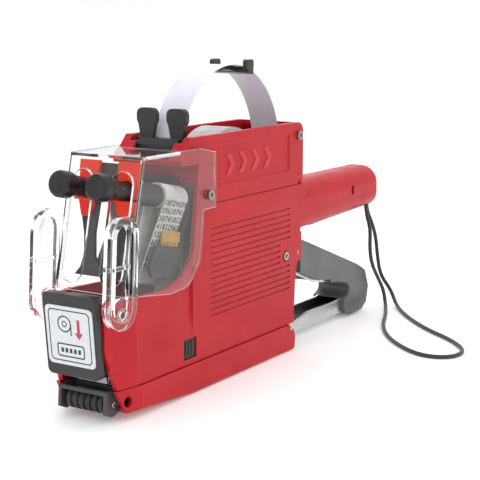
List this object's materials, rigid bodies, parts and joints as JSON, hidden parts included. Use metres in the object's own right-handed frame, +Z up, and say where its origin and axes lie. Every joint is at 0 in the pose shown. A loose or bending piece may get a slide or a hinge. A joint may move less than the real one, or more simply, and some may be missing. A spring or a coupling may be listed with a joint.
{
  "type": "price labeling gun",
  "caption": "Hand-held two-line price label gun with a clear visor, selector knobs, squeeze trigger, label roll, opening base and a wrist strap.",
  "frame": {"origin": "middle of the underside of the gun's own bounding box, on the surface that it stands on, without the wrist strap", "axes": "+X from the label exit at the nose towards the end of the handle, +Y towards the gun's right side, +Z up"},
  "size_m": [0.2744, 0.1193, 0.1498],
  "materials": {
    "red_plastic": "satin red moulded plastic",
    "clear_plastic": "clear moulded plastic",
    "black_plastic": "black moulded plastic",
    "white_plastic": "off-white moulded plastic",
    "orange_plastic": "orange-red moulded plastic",
    "grey_cover": "dark grey satin moulded plastic",
    "steel": "bright steel sheet and pins",
    "screw_steel": "plated screws",
    "paper": "label strip on its backing",
    "nose_label": "printed panel",
    "rubber": "moulded rubber",
    "ink_foam": "inked foam",
    "band_rubber": "pale type bands",
    "ochre_plastic": "ochre moulded plastic",
    "cord": "braided cord"
  },
  "bodies": {
    "case": {"left_shell": "red_plastic", "right_shell": "red_plastic", "visor": "clear_plastic", "visor_screws": "screw_steel", "case_screws": "screw_steel", "handle_screw": "screw_steel", "visor_studs": "screw_steel", "nose_hinge_pins": "steel", "tray_hinge_pins": "steel", "ink_pivot_pins": "steel", "roll_spindle": "steel", "rocker_shaft": "steel", "trigger_pivot_pin": "steel", "label_strip": "paper", "guide_fork": "black_plastic", "fork_pin": "steel", "guide_arm": "black_plastic", "return_spring": "steel", "strap_cleat": "black_plastic", "wrist_strap": "cord"},
    "nose": {"nose_cover": "black_plastic", "nose_plate": "nose_label"},
    "base": {"base_tray": "red_plastic", "platen_carrier": "black_plastic", "platen": "rubber", "peel_plate": "steel", "roller_bracket": "black_plastic", "roller_axle": "steel", "feed_pins": "steel", "feed_pawl": "steel", "backing_strip": "paper", "label_tail": "paper"},
    "applicator": {"applicator_roller": "rubber"},
    "feed": {"feed_wheel": "white_plastic"},
    "latch_left": {"latch_button_left": "black_plastic"},
    "latch_right": {"latch_button_right": "black_plastic"},
    "roll": {"label_roll": "paper", "roll_hub": "white_plastic"},
    "print_head": {"print_head_frame": "black_plastic", "band_combs": "ochre_plastic", "rocker_pin": "steel", "type_bands_left": "band_rubber", "type_bands_right": "band_rubber", "band_wheels_left": "white_plastic", "band_wheels_right": "white_plastic", "band_nose_bar_left": "steel", "band_nose_bar_right": "steel", "indicator_left": "orange_plastic", "indicator_right": "orange_plastic"},
    "selector_left": {"selector_sleeve_left": "black_plastic"},
    "selector_right": {"selector_sleeve_right": "black_plastic"},
    "dial_left": {"knob_left": "black_plastic"},
    "dial_right": {"knob_right": "black_plastic"},
    "ink_arm": {"ink_arm": "steel", "ink_axle": "steel"},
    "ink": {"ink_roller": "ink_foam"},
    "trigger": {"trigger_channel": "steel", "trigger_cover": "grey_cover", "drive_pin": "steel"},
    "link": {"drive_link": "white_plastic"}
  },
  "joints": [
    {"name": "trigger_squeeze", "type": "hinge", "parent": "case", "child": "trigger", "pos_m": [0.036, 0, 0.049], "axis": [0, -1, 0], "range_deg": [0, 17], "stiffness_Nm_per_rad": 0.9, "springref_deg": -6.88},
    {"name": "head_drop", "type": "hinge", "parent": "case", "child": "print_head", "pos_m": [-0.01, 0, 0.062], "axis": [0, 1, 0], "range_deg": [-12, 0]},
    {"name": "link_turn", "type": "hinge", "parent": "trigger", "child": "link", "pos_m": [0.02, 0, 0.022], "axis": [0, 1, 0], "range_deg": [0, 24.4]},
    {"name": "selector_pull_left", "type": "slide", "parent": "print_head", "child": "selector_left", "axis": [-0.9781, 0, 0.2079], "range_m": [0, 0.0147]},
    {"name": "selector_pull_right", "type": "slide", "parent": "print_head", "child": "selector_right", "axis": [-0.9781, 0, 0.2079], "range_m": [0, 0.0147]},
    {"name": "dial_turn_left", "type": "hinge", "parent": "selector_left", "child": "dial_left", "pos_m": [-0.10857, -0.0099, 0.09849], "axis": [0.9781, 0, -0.2079], "continuous": true},
    {"name": "dial_turn_right", "type": "hinge", "parent": "selector_right", "child": "dial_right", "pos_m": [-0.10857, 0.0099, 0.09849], "axis": [0.9781, 0, -0.2079], "continuous": true},
    {"name": "nose_open", "type": "hinge", "parent": "case", "child": "nose", "pos_m": [-0.1195, 0, 0.0225], "axis": [0, -1, 0], "range_deg": [0, 35]},
    {"name": "base_open", "type": "hinge", "parent": "case", "child": "base", "pos_m": [0.0215, 0, 0.012], "axis": [0, -1, 0], "range_deg": [0, 50]},
    {"name": "latch_press_left", "type": "slide", "parent": "case", "child": "latch_left", "axis": [0, 1, 0], "range_m": [0, 0.002], "stiffness_N_per_m": 400, "springref_m": -0.001},
    {"name": "latch_press_right", "type": "slide", "parent": "case", "child": "latch_right", "axis": [0, -1, 0], "range_m": [0, 0.002], "stiffness_N_per_m": 400, "springref_m": -0.001},
    {"name": "applicator_spin", "type": "hinge", "parent": "base", "child": "applicator", "pos_m": [-0.1178, 0, 0.0076], "axis": [0, 1, 0], "continuous": true},
    {"name": "feed_spin", "type": "hinge", "parent": "base", "child": "feed", "pos_m": [-0.086, 0, 0.017], "axis": [0, 1, 0], "continuous": true},
    {"name": "roll_spin", "type": "hinge", "parent": "case", "child": "roll", "pos_m": [-0.018, 0, 0.0925], "axis": [0, 1, 0], "continuous": true},
    {"name": "ink_swing", "type": "hinge", "parent": "case", "child": "ink_arm", "pos_m": [-0.113, 0, 0.027], "axis": [0, -1, 0], "range_deg": [0, 13], "stiffness_Nm_per_rad": 0.01, "springref_deg": -11.46},
    {"name": "ink_spin", "type": "hinge", "parent": "ink_arm", "child": "ink", "pos_m": [-0.115, 0, 0.046], "axis": [0, 1, 0], "continuous": true}
  ],
  "couplings": [
    {"joint": "head_drop", "follows": "trigger_squeeze", "ratio": -0.70588},
    {"joint": "link_turn", "follows": "trigger_squeeze", "ratio": 1.4276}
  ]
}
